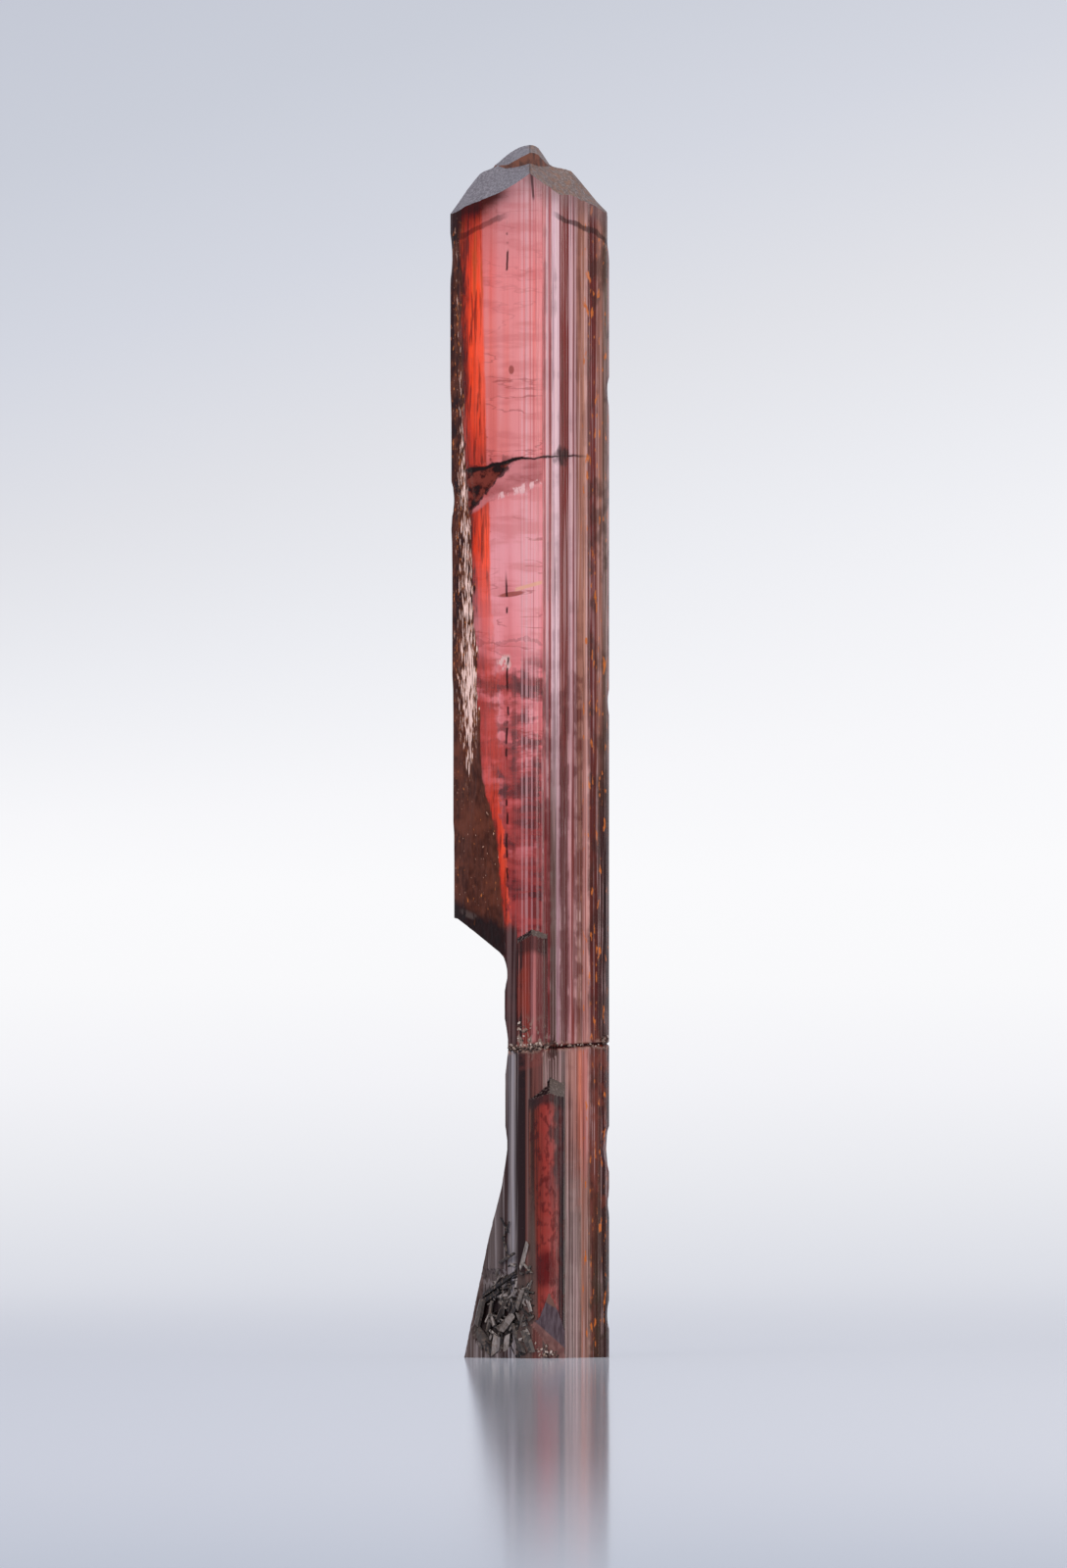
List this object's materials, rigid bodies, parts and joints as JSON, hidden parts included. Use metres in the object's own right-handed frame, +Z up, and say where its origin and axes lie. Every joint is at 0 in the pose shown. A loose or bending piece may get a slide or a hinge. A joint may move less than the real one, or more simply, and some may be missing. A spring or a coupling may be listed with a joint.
{
  "type": "vayrynenite crystal",
  "caption": "Tall standing prismatic vayrynenite crystal, translucent pink to deep red, with striated faces, a grey pointed top, side crystals and a nest of broken needles at its foot.",
  "frame": {"origin": "on the floor, under the middle of the crystal's box", "axes": "+Z up along the prism, +X to the viewer's right, -Y towards the viewer"},
  "size_m": [0.008, 0.006, 0.06],
  "materials": {
    "crystal": "translucent pink and red mineral with glossy striated faces, a satin grey top and a rough brown flank"
  },
  "bodies": {
    "root": {"crystal": "crystal"}
  },
  "joints": []
}
